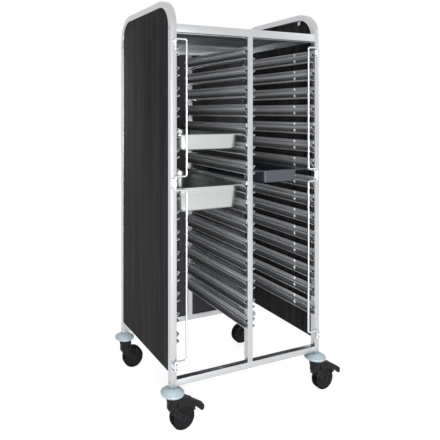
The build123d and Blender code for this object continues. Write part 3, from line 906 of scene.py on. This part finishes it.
class TROLLEY_OT_fasteners(bpy.types.Operator):
    """Set the runners' screws and rivets, and the frame's bolts"""

    bl_idname = "trolley.fasteners"
    bl_label = "Fasteners"

    def execute(self, context):
        sizes, runners = setting("fasteners"), setting("runners")
        zinc, blasted = MATERIALS["zinc"], MATERIALS["blasted"]
        tree = fastener_tree()
        flange = runners.flange / 2
        valley = runners.flange + runners.upper_nose + runners.valley / 2
        screws = on_runners(COLUMNS, [valley], [sizes.screw_front, sizes.screw_back])
        fasteners("runner_screws", screws, tree, sizes.screw_radius, sizes.screw_height, zinc)
        # White rivets on the outer runners: painted highlights for the glints of light there
        outer = [column for column in COLUMNS if "outer" in column]
        rivets = on_runners(outer, [flange, valley], [sizes.rivet_row])
        radius, height = sizes.rivet_radius, sizes.rivet_height
        fasteners("runner_rivets", rivets, tree, radius, height, blasted, drive=blasted)
        radius, height = sizes.bolt_radius, sizes.bolt_height
        heads = fasteners("frame_bolt_heads", on_frame(), tree, radius, height, zinc)
        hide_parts("frame_bolts")
        return {"FINISHED"}


# Stage

# Place and target in metres, and width, of each square lamp
LAMPS = {
    "key": ((-2.6, -2.4, 3.4), (0.0, 0.0, 0.9), 2.2),
    "fill": ((3.2, -1.6, 2.2), (0.0, 0.0, 0.9), 1.8),
    "front": ((-1.0, -3.0, 0.8), (0.0, 0.0, 1.2), 1.2),
}
# How the soft light grows or falls along two axes: from and to this part of the direction, these strengths
SKY = {"Z": (-0.3, 0.8, 0.3, 1.4), "X": (-1.0, 1.0, 1.3, 0.62)}
RANGE_SOCKETS = ("From Min", "From Max", "To Min", "To Max")
FLOOR_HALF_WIDTH = 14.0
FLOOR_GREY = 0.42
FLOOR_GLOW = 0.75
SENSOR_WIDTH = 36.0
FAR_CLIP = 60.0
WHITE = (1.0, 1.0, 1.0, 1.0)


def backdrop_rays(tree):
    """One for rays that show the backdrop, in the camera, in metal or through glass, and nought for light."""
    rays = add_node(tree, "ShaderNodeLightPath").outputs
    mirrored = {0: rays["Is Camera Ray"], 1: rays["Is Glossy Ray"]}
    shown = add_node(tree, "ShaderNodeMath", mirrored, operation="MAXIMUM")
    through = {0: shown.outputs[0], 1: rays["Is Transmission Ray"]}
    return add_node(tree, "ShaderNodeMath", through, operation="MAXIMUM").outputs[0]


class TROLLEY_OT_stage(bpy.types.Operator):
    """Set the floor, the soft light all round, three lamps and the camera at the photograph's place"""

    bl_idname = "trolley.stage"
    bl_label = "Studio"

    def execute(self, context):
        studio = setting("studio")
        self.floor()
        self.world(context.scene, studio)
        for name, (place, target, width) in LAMPS.items():
            self.lamp(f"{name}_lamp", place, target, width, getattr(studio, f"{name}_power"))
        camera = bpy.data.cameras.new("camera")
        camera.lens = studio.lens
        camera.sensor_width = SENSOR_WIDTH
        camera.shift_x, camera.shift_y = studio.shift
        camera.clip_end = FAR_CLIP
        eye = new_object("camera", camera)
        eye.location = studio.camera_place
        eye.rotation_euler = (math.pi / 2, 0.0, studio.camera_turn)
        context.scene.camera = eye
        context.scene.view_settings.view_transform = "Standard"
        return {"FINISHED"}

    def floor(self):
        """A wide pale floor that shows white and keeps the shadow."""
        shape = bmesh.new()
        bmesh.ops.create_grid(shape, x_segments=1, y_segments=1, size=FLOOR_HALF_WIDTH)
        mesh = bpy.data.meshes.new("floor")
        shape.to_mesh(mesh)
        shape.free()
        material = bpy.data.materials.new("white studio floor")
        material.use_nodes = True
        tree = material.node_tree
        tree.nodes.clear()
        glow = add_node(tree, "ShaderNodeMath", {0: backdrop_rays(tree), 1: FLOOR_GLOW}, operation="MULTIPLY")
        lit = add_node(tree, "ShaderNodeBsdfDiffuse", {"Color": (FLOOR_GREY, FLOOR_GREY, FLOOR_GREY, 1.0)})
        light = add_node(tree, "ShaderNodeEmission", {"Strength": glow.outputs[0]})
        both = add_node(tree, "ShaderNodeAddShader", {0: lit.outputs[0], 1: light.outputs[0]})
        add_node(tree, "ShaderNodeOutputMaterial", {"Surface": both.outputs[0]})
        mesh.materials.append(material)
        new_object("floor", mesh)

    def world(self, scene, studio):
        """Soft light, fuller from above and from the left; the camera, metal and glass show plain white."""
        world = bpy.data.worlds.new("soft studio")
        world.use_nodes = True
        tree = world.node_tree
        tree.nodes.clear()
        directions = add_node(tree, "ShaderNodeTexCoord").outputs["Generated"]
        way = add_node(tree, "ShaderNodeSeparateXYZ", {0: directions})
        fall = []
        for axis, ends in SKY.items():
            inputs = {"Value": way.outputs[axis], **dict(zip(RANGE_SOCKETS, ends))}
            fall.append(add_node(tree, "ShaderNodeMapRange", inputs).outputs[0])
        level = add_node(tree, "ShaderNodeMath", {0: fall[0], 1: fall[1]}, operation="MULTIPLY")
        soft = add_node(tree, "ShaderNodeMath", {0: level.outputs[0], 1: studio.world}, operation="MULTIPLY")
        strength = add_node(
            tree, "ShaderNodeMix", {"Factor": backdrop_rays(tree), "A": soft.outputs[0], "B": 1.0}
        )
        sky = add_node(tree, "ShaderNodeBackground", {"Color": WHITE, "Strength": strength.outputs[0]})
        add_node(tree, "ShaderNodeOutputWorld", {"Surface": sky.outputs[0]})
        scene.world = world

    def lamp(self, name, place, target, width, power):
        """A square soft lamp that faces a target."""
        data = bpy.data.lights.new(name, "AREA")
        data.shape = "SQUARE"
        data.size = width
        data.energy = power
        lamp = new_object(name, data)
        lamp.location = place
        lamp.rotation_euler = (Vector(target) - Vector(place)).to_track_quat("-Z", "Y").to_euler()


class TROLLEY_PT_panel(bpy.types.Panel):
    """The trolley's settings and steps, in the sidebar"""

    bl_idname = "TROLLEY_PT_panel"
    bl_label = "Tray trolley"
    bl_space_type = "VIEW_3D"
    bl_region_type = "UI"
    bl_category = "Tray trolley"

    def draw(self, context):
        for group, kind in GROUPS.items():
            box = self.layout.box()
            for name in kind.__annotations__:
                box.prop(setting(group), name)
        for step in STEPS:
            self.layout.operator(step.bl_idname)


GROUPS = {
    "finishes": TrolleyFinishes,
    "runners": TrolleyRunners,
    "fasteners": TrolleyFasteners,
    "casters": TrolleyCasters,
    "studio": TrolleyStudio,
}
STEPS = (
    TROLLEY_OT_finishes,
    TROLLEY_OT_rounded_parts,
    TROLLEY_OT_open_forks,
    TROLLEY_OT_runners,
    TROLLEY_OT_fasteners,
    TROLLEY_OT_stage,
)


def register():
    """Add the classes and the scene's settings."""
    for kind in (*GROUPS.values(), *STEPS, TROLLEY_PT_panel):
        bpy.utils.register_class(kind)
    for group, kind in GROUPS.items():
        setattr(bpy.types.Scene, f"trolley_{group}", PointerProperty(type=kind))


def unregister():
    """Take the settings and the classes away again."""
    for group in GROUPS:
        delattr(bpy.types.Scene, f"trolley_{group}")
    for kind in (TROLLEY_PT_panel, *reversed(STEPS), *GROUPS.values()):
        bpy.utils.unregister_class(kind)


def main():
    """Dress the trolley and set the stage."""
    register()
    for step in STEPS:
        group, name = step.bl_idname.split(".")
        getattr(getattr(bpy.ops, group), name)()


if __name__ == "__main__":
    main()
